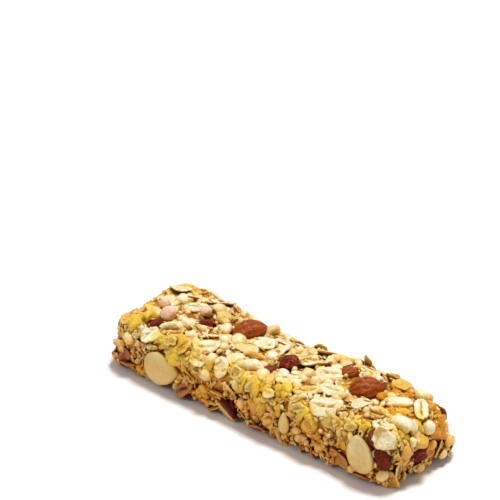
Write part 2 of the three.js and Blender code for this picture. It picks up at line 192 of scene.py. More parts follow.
# kind, wanted, length, width, how far sunk, crowding, most tip, share of the throws on top that stay
FILLING = [
    ("flake", 180, (5.2, 8), (4, 5.6), (0.8, 1.9), 0.54, 38, 1),
    ("fruit", 36, (2.8, 5), (2.2, 3.8), (0.6, 1.5), 0.5, 40, 0.3),
    ("crisp", 220, (2.9, 4.2), (2.7, 3.6), (0.7, 1.9), 0.5, 40, 1),
    ("edge", 46, (4.6, 7.4), (3.2, 4.6), (0.6, 1.4), 0.42, 80, 0.5),
    ("shard", 760, (1.8, 3.9), (1.5, 3), (0.1, 1.4), 0.32, 40, 0.4),
    ("crumb", 2200, (0.7, 1.9), (0.6, 1.5), (-0.1, 1.3), 0.28, 90, 0.65),
]

# Fruit laid one by one in the place of scattered pieces. x, y, z, length, width, turn, sunk, look
SHOWN_FRUIT = [
    (-29.8, -12.4, 14.4, 6, 4, 10, 0.9, ""),
    (-25.6, -12.9, 14.2, 6.4, 4.6, 25, 0.8, ""),
    (-20.6, -11.9, 15.1, 5.6, 3.8, -20, 0.9, ""),
    (-22, -14, 11.4, 5.6, 4.8, 60, 0.8, ""),
    (-14.7, -14.5, 5.4, 5.4, 4.2, 20, 0.7, ""),
    (5.8, -12.4, 14.2, 5.6, 4.2, -30, 0.8, ""),
    (5.6, -14.2, 8.4, 6.4, 5.4, 50, 0.7, ""),
    (18, -13, 13.4, 5.4, 4.6, 40, 0.9, ""),
    (24.6, -14, 8.6, 5, 4, -10, 0.9, ""),
    (34.6, -12.4, 14.4, 4.6, 3.6, 0, 0.9, ""),
    (47.8, -7.2, 14, 5, 3.8, 70, 0.7, ""),
    (49.5, 3.2, 6.8, 5.4, 4.2, 10, 0.8, "o"),
    (46.4, 0.6, 15, 4.6, 3.6, 0, 1.1, "o"),
    (34.2, 2.6, 16.4, 4.4, 3.4, 30, 0.8, "o"),
    (-45.6, -2.6, 14.5, 5.4, 4, 60, 0.9, ""),
    (-48, 6.4, 12, 6, 4.4, 20, 0.8, "o"),
    (-12, 14.2, 13, 6, 4.6, 10, 0.8, ""),
    (24, 14.2, 12, 6, 4.6, 40, 0.8, "o"),
    (-42, 14.2, 6, 5.6, 4.4, 10, 0.8, ""),
    (-4.2, -14, 5, 3.6, 2.6, 80, 0.5, "r"),
    (46.2, -13.4, 11, 3.4, 2.4, 70, 0.4, "r"),
    (-33.6, -7.2, 16, 3.2, 2.4, 10, 1.2, "r"),
    (-21.4, 2.4, 16, 3.4, 2.4, 30, 1.3, "r"),
    (36.8, 0.2, 16, 3, 2.2, 60, 1.1, "r"),
    (-16.8, -14.4, 6, 2.8, 2, 50, 0.9, "r"),
    (12.6, -14.4, 6.2, 3.2, 1.8, 85, 0.9, "r"),
    (13.9, -12.4, 14.2, 2.6, 1.6, 30, 1, "r"),
    (26.9, -14.2, 7.7, 2.8, 2, 20, 0.8, "r"),
    (38, -12.7, 14, 3.2, 2.4, 10, 0.8, "r"),
    (43.6, -13.3, 12.8, 3.6, 2, 75, 0.7, "r"),
    (-29.4, -13.9, 12.4, 4, 1.8, 5, 1, "r"),
    (-20.3, -14.1, 1.8, 3, 2, 30, 0.8, "r"),
    (-44.4, -14.2, 3.4, 2.8, 1.8, 20, 0.9, "r"),
    (-39.4, -14.2, 4.6, 2.6, 1.8, 60, 0.9, "r"),
    (49.5, -4.6, 6.4, 3, 1.8, 70, 0.8, "r"),
    (49.5, -3.4, 2.6, 3.2, 2, 10, 0.9, "r"),
    (49.5, 3.4, 4.4, 2.8, 1.8, -30, 0.9, "r"),
]

# Cereal laid one by one in the same way. kind, x, y, z, length, width, turn, tip, sunk, look
SHOWN_CEREAL = [
    ("flake", -42.6, 7, 16.6, 7, 4, 24, -14, -0.9, "w"),
    ("flake", 9.4, -14.2, 6.2, 5.6, 3.4, 80, 20, -0.2, ""),
    ("crisp", 49.6, 10.2, 5.4, 3.4, 3, 20, 0, -0.3, ""),
    ("crisp", 49.5, 3.4, 7.2, 3.2, 2.8, 0, 0, 0, "y"),
    ("crisp", 44.3, -3.9, 16, 2.4, 2, 0, 0, -0.6, "w"),
    ("crisp", 47.9, -2.3, 14.4, 3.8, 2.6, -48, 0, -0.3, "w"),
    ("flake", -46, -13.6, 6.8, 7, 4.6, 25, 12, -0.3, ""),
    ("flake", -43.2, -14.2, 4.8, 5.6, 4, 70, 14, -0.2, "b"),
    ("flake", -46.4, -13.2, 2.8, 6.4, 4.2, 40, 16, -0.2, "y"),
    ("flake", -40.6, -14, 1.8, 5, 3.4, -10, 20, 0, "b"),
    ("flake", -27.4, -12.4, 14.6, 4.2, 2.8, 20, 14, -1, "ws"),
    ("flake", -22.4, -12.7, 14.2, 3.8, 2.6, 50, -18, -0.9, "s"),
    ("flake", -3.4, -12.4, 14.6, 4, 3, -20, 16, -0.8, "ws"),
    ("flake", 2.6, -13.2, 13, 4.2, 2.6, 40, 20, -0.9, "ws"),
    ("flake", 8.6, -13, 13.4, 4.4, 3, 10, -20, -0.8, "ws"),
    ("flake", 18.8, -13.2, 13.2, 4.4, 2.8, 30, 16, -0.9, "ws"),
    ("flake", 23.4, -14, 10.6, 3.8, 2.6, -40, -14, -0.9, "s"),
    ("flake", 36.2, -12.6, 14.3, 4, 2.6, 20, 22, -0.9, "ws"),
    ("flake", 35.3, 8.6, 16.4, 7, 4.4, -20, 10, -0.9, "ys"),
    ("crisp", 41.4, 9.1, 15.5, 4.2, 3.8, 0, 0, -0.4, "w"),
    ("crisp", 49.4, 9, 12.4, 3, 2.6, 40, 0, -0.2, ""),
    ("flake", 49.6, 6.2, 5, 5.4, 3.6, 60, 20, -0.4, ""),
    ("crisp", 49.8, 7.2, 3, 3, 2.4, 0, 0, -0.2, "w"),
    ("flake", 44.4, 5.6, 16, 3.6, 2.4, 60, -20, -0.6, "s"),
    ("crisp", 49.6, -4.4, 11.6, 2.8, 2.6, 0, 0, -0.2, "w"),
    ("flake", 49.4, -9.4, 5.4, 5, 3.4, 70, 20, -0.3, "w"),
    ("crisp", 46.6, -12.4, 4.8, 3.6, 3, 20, 0, -0.3, "w"),
]

CUT_BELOW = 11.5  # the sides under this height are cut faces, where flakes and crisps are broken smaller
CUT_SIZE = 0.72
CUT_TIP, TOP_TIP = 3, 1.6  # how much more the scattered flakes tip than the solid ones
CUT_SINK, TOP_SINK = (0, 0.9), (-0.5, 0.3)
BACK_EDGE = 11  # behind this the pieces stand out more unevenly
BACK_RISE, BACK_FILL_RISE = 1, 1.6
FRUIT_BEHIND = 9  # the scattered fruit in front of this is flakes, as its fruit is laid one by one
FRUIT_TIP = 12
CLEARED = 0.36  # a piece laid one by one clears the scattered ones in this share of its length and width
HAND_SUNK = 0.4  # the pieces placed one by one sink this share of what the solid ones do
PROUD = 0.9  # how far pink crisps and flakes upon others stand out instead
HAND_ROOM = 1.38  # the filling keeps this much further from the pieces placed one by one
NUT_CROWDING = 0.62  # nothing smaller comes up through a nut or an almond slice
FILL_TRIES = 12000
TOP_FROM = HEIGHT - 1

rng = np.random.default_rng(7)


def seeded(seed):
    """The CAD model's random numbers."""
    state = seed
    mask = 0xFFFFFFFF

    def draw():
        nonlocal state
        state = (state + 0x6D2B79F5) & mask
        t = ((state ^ (state >> 15)) * (state | 1)) & mask
        t ^= (t + (((t ^ (t >> 7)) * (t | 61)) & mask)) & mask
        return (t ^ (t >> 14)) / 2**32

    return draw


def capped(x):
    """No less than zero and no more than one."""
    return np.clip(x, 0, 1)


def bell(x, width):
    """One where x is zero, falling to nothing on both sides."""
    return np.exp(-((x / width) ** 2))


def unit_of(vectors):
    """The same directions at a length of one."""
    return vectors / np.maximum(np.linalg.norm(vectors, axis=-1, keepdims=True), 1e-9)


CORE_LOW = np.array([ROUND - LENGTH / 2, ROUND - WIDTH / 2, ROUND - TUCK])
CORE_HIGH = np.array([LENGTH / 2 - ROUND, WIDTH / 2 - ROUND, HEIGHT - ROUND])


def skin_at(points):
    """The points of the skin nearest to these, and the outward normals there."""
    points = np.asarray(points, float)
    inner = np.clip(points, CORE_LOW, CORE_HIGH)
    normal = unit_of(points - inner)
    at = inner + ROUND * normal
    rise = np.zeros(at.shape[:-1])
    for x, y, z, most, reach in SWELLS:
        away = np.linalg.norm(at - [x, y, z], axis=-1)
        rise += most * bell(away, reach)
    return at + rise[..., None] * normal, normal


def frames_on_skin(points, turn, tip, lift):
    """Where shapes lie on the skin, and the directions of their long side, wide side and outer face."""
    at, normal = skin_at(points)
    turn, tip = np.radians(turn)[:, None], np.radians(tip)[:, None]
    start = np.where(np.abs(normal[:, :1]) < 0.8, [[1.0, 0, 0]], [[0, 1.0, 0]])
    first = unit_of(start - (start * normal).sum(1, keepdims=True) * normal)
    second = np.cross(normal, first)
    long = np.cos(turn) * first + np.sin(turn) * second
    across = np.cross(normal, long)
    wide = np.cos(tip) * across + np.sin(tip) * np.cross(long, across)
    return at + np.asarray(lift)[:, None] * normal, long, wide, np.cross(long, wide)


# ---- Laying the pieces ----


class Piece:
    def __init__(self, kind, at, length, width, turn, tip=0.0, sunk=0.0, look=""):
        self.kind, self.at, self.look = kind, np.array(at, float), look
        self.length, self.width, self.turn, self.tip, self.sunk = length, width, turn, tip, sunk
        self.filling = self.scattered = self.shown = False


laid = []
for rows in (HAZELNUTS, ALMOND_SLICES, CRANBERRIES):
    laid += [Piece("nut", row[:3], *row[3:5], 0) for row in rows]
for *at, length, width, turn, tip, look in PLACED_FLAKES:
    laid.append(Piece("flake", at, length, width, turn, tip, SUNK["flake"], look))
for kind, rows in (("crisp", PLACED_CRISPS), ("fruit", PLACED_FRUIT)):
    for *at, length, width, turn, look in rows:
        laid.append(Piece(kind, at, length, width, turn, 0, SUNK[kind], look))


def thrown_point(draw):
    """A point thrown evenly at the top, the long sides and the ends."""
    areas = [LENGTH * WIDTH, 2 * LENGTH * HEIGHT, 2 * WIDTH * HEIGHT]
    pick = draw() * sum(areas)
    a, b = draw() - 0.5, draw()
    side = -0.5 if draw() < 0.5 else 0.5
    if pick < areas[0]:
        return a * LENGTH, (b - 0.5) * WIDTH, HEIGHT
    if pick < areas[0] + areas[1]:
        return a * LENGTH, side * WIDTH, b * HEIGHT
    return side * LENGTH, a * WIDTH, b * HEIGHT


def throw(draw, kind, wanted, length, width, sunk, crowding, tip_most, tries, among, clear=1.0, on_top=1.0):
    """Lays pieces of one kind where there is room for them among those that are laid.

    Clear is how much more room the pieces placed one by one get, on_top the share of those on top that stay.
    """
    count = len(among)
    spots, rooms, least = np.zeros((count + wanted, 3)), np.zeros(count + wanted), np.zeros(count + wanted)
    spots[:count] = [p.at for p in among]
    rooms[:count] = [(p.length + p.width) / 4 * (clear if p.shown else 1) for p in among]
    least[:count] = [NUT_CROWDING if p.kind == "nut" else 0 for p in among]
    made = []
    for _ in range(tries):
        at = skin_at(thrown_point(draw))[0]
        size = [low + (high - low) * draw() for low, high in (length, width)]
        turn = 180 * draw()
        tip = (2 * draw() - 1) * tip_most
        half = sum(size) / 4
        room = np.maximum(crowding, least[:count]) * (rooms[:count] + half)
        near = np.linalg.norm(spots[:count] - at, axis=1) < room
        if at[2] < LEAST_Z or near.any() or (on_top < 1 and at[2] > TOP_FROM and draw() > on_top):
            continue
        depth = sunk[0] if sunk[0] == sunk[1] else sunk[0] + (sunk[1] - sunk[0]) * draw()
        made.append(Piece(kind, at, *size, turn, tip, depth))
        spots[count], rooms[count] = at, half
        count += 1
        if len(made) == wanted:
            break
    return made


for piece in laid:
    piece.shown = True
    piece.sunk = -PROUD if "p" in piece.look or "u" in piece.look else HAND_SUNK * piece.sunk

cad_draw = seeded(SEED)
for kind, wanted, length, width in SCATTERED:
    sunk = (SUNK[kind],) * 2
    thrown = throw(cad_draw, kind, wanted, length, width, sunk, CROWDING, TIP_MOST, TRIES, laid)
    for piece in thrown:
        piece.scattered = True
    laid += thrown
for piece in [p for p in laid if p.scattered]:
    if piece.kind == "fruit" and piece.at[1] < FRUIT_BEHIND:
        piece.kind = "flake"
    cut = piece.at[2] < CUT_BELOW
    if cut:
        piece.length *= CUT_SIZE
        piece.width *= CUT_SIZE
    if piece.at[1] > BACK_EDGE:
        piece.sunk -= rng.uniform(0, BACK_RISE)
    if piece.kind == "flake":
        piece.tip *= CUT_TIP if cut else TOP_TIP
        piece.sunk += rng.uniform(*(CUT_SINK if cut else TOP_SINK))
by_hand = []
for *at, length, width, turn, sunk, look in SHOWN_FRUIT:
    tip = rng.uniform(-FRUIT_TIP, FRUIT_TIP)
    by_hand.append(Piece("fruit", at, length, width, turn, tip, sunk, look))
for kind, *at, length, width, turn, tip, sunk, look in SHOWN_CEREAL:
    by_hand.append(Piece(kind, at, length, width, turn, tip, sunk, look))
for piece in by_hand:
    at = skin_at(piece.at)[0]
    room = CLEARED * (piece.length + piece.width)
    laid = [p for p in laid if not (p.scattered and np.linalg.norm(skin_at(p.at)[0] - at) < room)] + [piece]
for kind, wanted, length, width, sunk, crowding, tip, on_top in FILLING:
    sizes = (length, width, sunk)
    fill = throw(rng.random, kind, wanted, *sizes, crowding, tip, FILL_TRIES, laid, HAND_ROOM, on_top)
    cereal = kind in ("flake", "crisp")
    for piece in fill:
        piece.filling = True
        if cereal and piece.at[1] > BACK_EDGE:
            piece.sunk -= rng.uniform(0, BACK_FILL_RISE)
        if cereal and piece.at[2] < CUT_BELOW:
            piece.length *= CUT_SIZE
            piece.width *= CUT_SIZE
    laid += fill

# ---- Mesh making ----


def drum(segments, rings, under):
    """Angles, radii and sides of a flat closed drum, from its top middle to its bottom middle, and faces."""
    share = [*rings, 1, *reversed(under)]
    side = [1] * len(rings) + [0] + [-1] * len(under)
    rows = len(share)
    theta = np.array([0, *np.tile(2 * np.pi * np.arange(segments) / segments, rows), 0])
    rho = np.array([0, *np.repeat(share, segments), 0])
    top = np.array([1, *np.repeat(side, segments), -1])
    faces = []
    for j in range(segments):
        k = (j + 1) % segments
        faces.append((0, 1 + j, 1 + k))
        for row in range(rows - 1):
            a, b = 1 + row * segments, 1 + (row + 1) * segments
            faces.append((a + j, b + j, b + k))
            faces.append((a + j, b + k, a + k))
        last = 1 + (rows - 1) * segments
        faces.append((last + j, len(theta) - 1, last + k))
    return theta, rho, top, np.array(faces)


def merged(points, faces, digits):
    """The points without doubles, and the faces that fit them."""
    _, first, inverse = np.unique(np.round(points, digits), axis=0, return_index=True, return_inverse=True)
    return points[first], inverse.reshape(-1)[np.array(faces)]


def ball(steps):
    """A ball's points and faces: an icosahedron whose edges are cut into a number of steps."""
    g = (1 + 5**0.5) / 2
    v = [(-1, g, 0), (1, g, 0), (-1, -g, 0), (1, -g, 0), (0, -1, g), (0, 1, g)]
    v += [(0, -1, -g), (0, 1, -g), (g, 0, -1), (g, 0, 1), (-g, 0, -1), (-g, 0, 1)]
    v = np.array(v)
    f = [(0, 11, 5), (0, 5, 1), (0, 1, 7), (0, 7, 10), (0, 10, 11), (1, 5, 9), (5, 11, 4)]
    f += [(11, 10, 2), (10, 7, 6), (7, 1, 8), (3, 9, 4), (3, 4, 2), (3, 2, 6), (3, 6, 8)]
    f += [(3, 8, 9), (4, 9, 5), (2, 4, 11), (6, 2, 10), (8, 6, 7), (9, 8, 1)]
    points, faces = [], []
    for a, b, c in f:
        start = {}
        for i in range(steps + 1):
            for j in range(steps + 1 - i):
                start[i, j] = len(points)
                points.append(v[a] + (v[b] - v[a]) * i / steps + (v[c] - v[a]) * j / steps)
        for i in range(steps):
            for j in range(steps - i):
                faces.append((start[i, j], start[i + 1, j], start[i, j + 1]))
                if i + j < steps - 1:
                    faces.append((start[i + 1, j], start[i + 1, j + 1], start[i, j + 1]))
    return merged(unit_of(np.array(points)), faces, 6)


RIPPLE_HEIGHT = 1.6


def ripples(points, count, low, high):
    """A smooth random value for each point of each piece: points are (pieces, points, 3)."""
    n = len(points)
    way = rng.normal(size=(n, count, 3))
    way *= rng.uniform(low, high, (n, count, 1)) / np.linalg.norm(way, axis=2, keepdims=True)
    phase = rng.uniform(0, 2 * np.pi, (n, 1, count))
    return np.sin(np.einsum("nvc,nkc->nvk", points, way) + phase).mean(2) * RIPPLE_HEIGHT


def srgb(r, g, b):
    """A colour from 0 to 255 as linear light."""
    c = np.array([r, g, b]) / 255
    return np.where(c <= 0.04045, c / 12.92, ((c + 0.055) / 1.055) ** 2.4)


def mesh_object(name, points, faces, colors):
    """A smooth mesh from points in millimetres, triangles and linear colours of its points."""
    mesh = bpy.data.meshes.new(name)
    mesh.vertices.add(len(points))
    mesh.vertices.foreach_set("co", (points * MM).astype(np.float32).ravel())
    mesh.loops.add(3 * len(faces))
    mesh.loops.foreach_set("vertex_index", faces.astype(np.int32).ravel())
    mesh.polygons.add(len(faces))
    mesh.polygons.foreach_set("loop_start", (3 * np.arange(len(faces))).astype(np.int32))
    mesh.polygons.foreach_set("use_smooth", np.ones(len(faces), bool))
    mesh.update(calc_edges=True)
    layer = mesh.color_attributes.new("tint", "FLOAT_COLOR", "POINT")
    rgba = np.ones((len(points), 4), np.float32)
    rgba[:, :3] = capped(colors)
    layer.data.foreach_set("color", rgba.ravel())
    mesh.validate()
    made = bpy.data.objects.new(name, mesh)
    scene.collection.objects.link(made)
    return made


def placed(local, pieces, floor_play=0.25):
    """Local shapes (pieces, points, 3) laid on the skin by their pieces, and never below the table."""
    at, long, wide, out = frames_on_skin(*zip(*((p.at, p.turn, p.tip, -p.sunk) for p in pieces)))
    world = at[:, None] + local[..., :1] * long[:, None] + local[..., 1:2] * wide[:, None]
    world += local[..., 2:] * out[:, None]
    lowest = rng.uniform(0, floor_play, (len(pieces), 1))
    world[..., 2] = np.maximum(world[..., 2], lowest)
    return world


# Name, points, faces, colours and how strongly the painted shade and syrup tint take it. Meshes are made when
# all the shapes are there.
shapes = []


def joined(name, world, faces, colors, shade_and_syrup=1.0):
    """One shape of many pieces that share their faces' pattern."""
    n, v = world.shape[:2]
    all_faces = (faces[None] + v * np.arange(n)[:, None, None]).reshape(-1, 3)
    shapes.append((name, world.reshape(-1, 3), all_faces, colors.reshape(-1, 3), shade_and_syrup))


def column(values):
    return np.asarray(values, float)[:, None]


OAT_WHITE = srgb(255, 242, 216)
OAT_CREAM = srgb(250, 229, 180)
OAT_GOLD = srgb(240, 203, 120)
OAT_BROWN = srgb(184, 132, 72)
CRISP_PINK = srgb(250, 212, 204)
BEAD_GOLD = srgb(238, 190, 92)
FRUIT_ORANGE = srgb(232, 168, 52)
RAISIN = srgb(104, 32, 14)
# The white, main and deep tones of each kind
OAT_TONES = (OAT_WHITE, OAT_CREAM, OAT_GOLD)
CRISP_TONES = (OAT_WHITE, OAT_CREAM, srgb(245, 212, 138))
FRUIT_TONES = (srgb(250, 226, 112), srgb(238, 204, 88), srgb(238, 204, 88))
RAISIN_TONES = (RAISIN, RAISIN, RAISIN)
CRUMB_TONES = (OAT_WHITE, OAT_GOLD, srgb(214, 150, 58))
# The share of a darker tint, laid in random patches and, on wrinkled fruit and raisins, as painted shade in
# the wrinkles, and what it does to red, green and blue
CEREAL_MIX = (0.4, (0.95, 0.84, 0.6))
FRUIT_MIX = (0.5, (0.93, 0.84, 0.4))
RAISIN_MIX = (0.9, (0.6, 0.5, 0.5))
# The flakes' darker golden tint: partly their own patchy tone, partly painted shade in the crease, hollows
# and valleys and on the underside
FLAKE_LOW_TONE_AND_SHADE = np.array([0.88, 0.71, 0.36])

# Waves round a flake's edge and their depth, as a share of its half length
EDGE_WAVES = ((2, 0.05), (3, 0.07), (5, 0.05), (8, 0.035), (13, 0.03), (19, 0.02))
NOTCHES, NOTCH_DEPTH, NOTCH_WIDTH = 3, 0.28, 0.13
SWING, CRUMPLE = 0.16, 0.06  # the slow and the fine unevenness of a flake
CALMER, WILDER = 0.45, 0.7  # how much less the flakes placed by hand crumple, and how much more the jagged
FLAKE_WHITES = 0.66


def blend(first, second, share):
    return first * (1 - share) + second * share


def piece_colors(pieces, tones, whites):
    """A colour for each piece, from its look or at random. Whites is the share of white pieces."""
    white, main, deep = tones
    blends = {"w": (white, main, 0.5), "y": (OAT_GOLD, main, 0.4), "b": (OAT_BROWN, OAT_GOLD, 0.4)}
    plain = {"g": BEAD_GOLD, "p": CRISP_PINK, "o": FRUIT_ORANGE, "r": RAISIN}
    out = []
    for p in pieces:
        t = rng.random()
        c = blend(main, deep, t**2) if rng.random() > whites else blend(white, main, t)
        for letter in p.look:
            if letter in blends:
                first, second, most = blends[letter]
                c = blend(first, second, most * t)
            c = plain.get(letter, c)
        out.append(c)
    return np.array(out)


def height_over_skin(points):
    inner = np.clip(points, CORE_LOW, CORE_HIGH)
    return np.linalg.norm(points - inner, axis=-1) - np.linalg.norm(skin_at(points)[0] - inner, axis=-1)


def crease_of(piece):
    """How deep the crease along a flake is, from its look or at random."""
    if "c" in piece.look:
        return 1.0
    return 0 if "s" in piece.look else rng.choice([0, 0.4, 0.9], p=[0.5, 0.25, 0.25])


def flakes(name, pieces, segments, rings, under, thick):
    """Rolled oat flakes: thin crumpled discs with ragged or torn edges, many with a crease in the middle."""
    theta, rho, top, faces = drum(segments, rings, under)
    n = len(pieces)

    def each(low, high):
        return rng.uniform(low, high, (n, 1))

    a, b = column([p.length / 2 for p in pieces]), column([p.width / 2 for p in pieces])
    shown = column([p.shown for p in pieces])
    calm = 1 - CALMER * shown + column([WILDER if "j" in p.look else 0 for p in pieces])
    t = each(*thick) * np.clip(b / 2.6, 0.6, 1.1) * (1 + 0.35 * shown)
    square = each(1.8, 3)
    edge = (np.abs(np.cos(theta)) ** square + np.abs(np.sin(theta)) ** square) ** (-1 / square) * 0.97
    for waves, depth in EDGE_WAVES:
        edge += calm * depth * each(0.4, 1) * np.cos(waves * theta + each(0, 2 * np.pi))
    for _ in range(NOTCHES):
        away = np.angle(np.exp(1j * (theta - each(0, 2 * np.pi))))
        edge -= calm * each(0, NOTCH_DEPTH) * bell(away, NOTCH_WIDTH) * rho**2
    torn = each(0.62, 1.5) / np.maximum(np.cos(theta - each(0, 2 * np.pi)), 0.01)
    edge = np.where(shown > 0, edge, np.minimum(edge, torn))
    u, v = rho * edge * np.cos(theta), rho * edge * np.sin(theta)
    unit = np.stack([u, v, np.zeros_like(u)], 2)

    creased = column([crease_of(p) for p in pieces])
    line = v - each(-0.2, 0.2) * u**2 - 0.05 * np.sin(5 * u + each(0, 6))
    groove = creased * bell(line, 0.11) * capped(1.15 - np.abs(u) ** 3 * 1.6)
    hollows = [0.1 if set("cjs") & set(p.look) else rng.uniform(0.2, 1) for p in pieces]
    dish = column(hollows) * np.exp(-((rho / 0.6) ** 4))
    valleys = calm * bell(ripples(unit, 3, 1.5, 4.5), 0.2)
    crinkles = np.abs(ripples(unit, 5, 6, 12))
    body = 0.5 * t * (1 + 0.3 * creased * bell(np.abs(line) - 0.42, 0.3))
    body *= capped(1 - rho ** (each(3.5, 9) * calm + 1)) ** 0.5
    dent = t * (0.6 * groove + 0.35 * dish + 0.32 * valleys * (1 - rho**6)) - 0.09 * crinkles * (1 - rho**8)
    twist = each(0, 0.6) * np.cos(2 * theta + each(0, 6)) + each(0, 0.35) * np.cos(3 * theta + each(0, 6))
    curl = calm * rho**3 * twist
    swing = calm * ripples(unit, 4, 1.5, 4) * SWING + ripples(unit, 5, 4, 9) * CRUMPLE
    cup = each(-0.4, 0.7) * u**2 + each(-0.2, 0.5) * v**2 + each(-0.35, 0.35) * u * v - 0.15
    z = (cup + swing + 0.55 * curl) * b / 3 + np.where(top > 0, body - dent, top * body)
    world = placed(np.stack([a * u, b * v, z], 2), pieces)

    base = piece_colors(pieces, OAT_TONES, FLAKE_WHITES)[:, None]
    patchy = ripples(unit, 4, 2, 5)
    # Painted shade and highlight: darker in the crease, dish and valleys and on the underside, lighter on the
    # crinkles; the patchy part is the flakes' own tone
    low = 0.18 + 0.3 * patchy + 0.75 * groove + 0.55 * dish * each(0, 1) + 0.6 * valleys - 0.25 * crinkles
    low = capped(np.where(top > 0, low * (1 - 0.6 * rho**6), 0.8))[..., None]
    colors = base * (1 - low) * 1.04 + base * FLAKE_LOW_TONE_AND_SHADE * low
    joined(name, world, faces, colors)


FACET_EDGE = 14  # how sharp the edges between flat sides are
FACET_GROWTH = 1.2
LARGE_FROM = 3.8  # wider bits than this are more uneven


def lumps(name, pieces, steps, depth, rough, tones, whites, facets=0, shade_and_syrup=1.0, mix=CEREAL_MIX, wrinkles=0):
    """Rounded bits: crisps, fruit and crumbs. Rough is how uneven they are, facets how many flat sides."""
    points, faces = ball(steps)
    n = len(pieces)
    unit = np.repeat(points[None], n, 0)
    blunt = column([min(1, 1.5 * p.width / p.length) for p in pieces])
    unit[..., 0] = np.sign(unit[..., 0]) * np.abs(unit[..., 0]) ** blunt
    size = np.array([[p.length / 2, p.width / 2, depth(p) / 2] for p in pieces])[:, None]
    reach = np.ones(unit.shape[:2])
    if facets:
        way = unit_of(rng.normal(size=(n, facets, 3)))
        way[:, :2] = [[[0, 0, 1.0], [0, 0, -1.0]]]
        off = rng.uniform(0.6, 0.95, (n, 1, facets))
        over = np.clip(np.einsum("nvc,nkc->nvk", unit, way) / off, 0, None)
        reach = (1 + (over**FACET_EDGE).sum(2)) ** (-1 / FACET_EDGE) * FACET_GROWTH
    large = column([max(0, p.width - LARGE_FROM) for p in pieces])
    uneven = rough * (1 + 2 * large) * rng.uniform(0.4, 1.7, (n, 1))
    swell_by = reach + uneven * ripples(unit, 4, 1.5, 3.5) + 0.45 * uneven * ripples(unit, 6, 4, 8)
    wrinkled = bell(ripples(unit, 4, 2, 5), 0.22) + 0.6 * bell(ripples(unit, 5, 5, 9), 0.3)
    local = unit * (swell_by - wrinkles * wrinkled)[..., None] * size
    lean = rng.normal(0, 0.12, (n, 1, 3)) * local[..., [1, 2, 0]]
    world = placed(local + lean, pieces)
    base = piece_colors(pieces, tones, whites)[:, None]
    share, tint = mix
    # Darker in random patches, and on wrinkled pieces painted shade in the wrinkles
    low = 0.4 + 0.7 * ripples(unit, 5, 2, 6) + 5 * wrinkles * (wrinkled - 0.4)
    low = capped(low)[..., None] * share
    joined(name, world, faces, blend(base, base * np.array(tint), low), shade_and_syrup)


def of_kind(kind):
    return [p for p in laid if p.kind == kind]


WHOLE_UNDER = 4.6  # fruit of this length or more is a clump
CHUNK_LENGTH, CHUNK_WIDTH = (0.5, 0.75), (0.55, 0.8)  # shares of the clump's own
CHUNK_ALONG, CHUNK_ASIDE = (0.1, 0.3), (0.08, 0.26)
CHUNK_TURN, CHUNK_TIP = 60, 25
CHUNK_SINK = (-0.3, 0.5)


def chopped(pieces):
    """Fruit in which each large piece is a clump of smaller chunks in its place."""
    out = []
    for p in pieces:
        if p.length < WHOLE_UNDER:
            out.append(p)
            continue
        _, long, wide, _ = frames_on_skin([p.at], [p.turn], [0], [0])
        for u, v in ((-1, -1), (-1, 1), (1, -1), (1, 1)):
            along = u * rng.uniform(*CHUNK_ALONG) * p.length * long[0]
            aside = v * rng.uniform(*CHUNK_ASIDE) * p.width * wide[0]
            size = (p.length * rng.uniform(*CHUNK_LENGTH), p.width * rng.uniform(*CHUNK_WIDTH))
            turn = p.turn + rng.uniform(-CHUNK_TURN, CHUNK_TURN)
            tip = rng.uniform(-CHUNK_TIP, CHUNK_TIP)
            sunk = p.sunk + rng.uniform(*CHUNK_SINK)
            out.append(Piece("fruit", p.at + along + aside, *size, turn, tip, sunk, p.look))
    return out


def fruit_depth(piece):
    return min(3, 0.85 * piece.width)


large_flakes = [p for p in of_kind("flake") if not p.filling]
small_flakes = [p for p in of_kind("flake") if p.filling] + of_kind("edge")
bright_fruit = [p for p in of_kind("fruit") if p.look != "r"]
raisins = [p for p in of_kind("fruit") if p.look == "r"]

# Segments round, the rings' radii on the upper and the lower side, and thickness
FINE_RINGS = (0.16, 0.32, 0.47, 0.6, 0.72, 0.83, 0.92, 0.975)
flakes("oat_flakes", large_flakes, 48, FINE_RINGS, (0.35, 0.7, 0.93), (0.62, 0.98))
flakes("oat_bits", small_flakes, 36, (0.25, 0.47, 0.66, 0.82, 0.94), (0.5, 0.88), (0.6, 0.92))
flakes("oat_shards", of_kind("shard"), 16, (0.45, 0.8), (0.75,), (0.6, 1))
# Steps, depth, roughness, tones, share of white, facets, how strongly the painted shade and syrup tint take
# it, tint of patches and of painted shade in wrinkles, wrinkles
lumps("puffed_rice", of_kind("crisp"), 5, lambda p: p.width * 0.95, 0.11, CRISP_TONES, 0.45)
chunks = chopped(bright_fruit)
lumps("fruit_bits", chunks, 6, fruit_depth, 0.15, FRUIT_TONES, 0.6, 9, 0.85, FRUIT_MIX, 0.07)
lumps("raisins", raisins, 8, fruit_depth, 0.1, RAISIN_TONES, 1, 9, 0.5, RAISIN_MIX, 0.08)
lumps("crumbs", of_kind("crumb"), 2, lambda p: p.width, 0.16, CRUMB_TONES, 0.5, 6, 0.7)

# ---- The syrup that holds the pieces together ----

SYRUP_INSET = 1.9
SYRUP_CELL = 0.75
SYRUP_CLIMB = 1.1  # how far it climbs under the pieces
SYRUP_WAVES = 0.22
SYRUP_FLOOR = 0.3
SYRUP_SCALE = 6  # its waves and patches are worked out in units of this size
JELLY_REACH = 3  # round the fruit, golden jelly fills the gaps
JELLY_RISE = 0.4
GLAZED_SIDES = 0.3
GLAZED_BELOW = 14
SYRUP = srgb(176, 120, 36)
GLAZE = srgb(226, 168, 44)
CORE_SHADE_AND_SYRUP = 0.55
BATCH = 4000


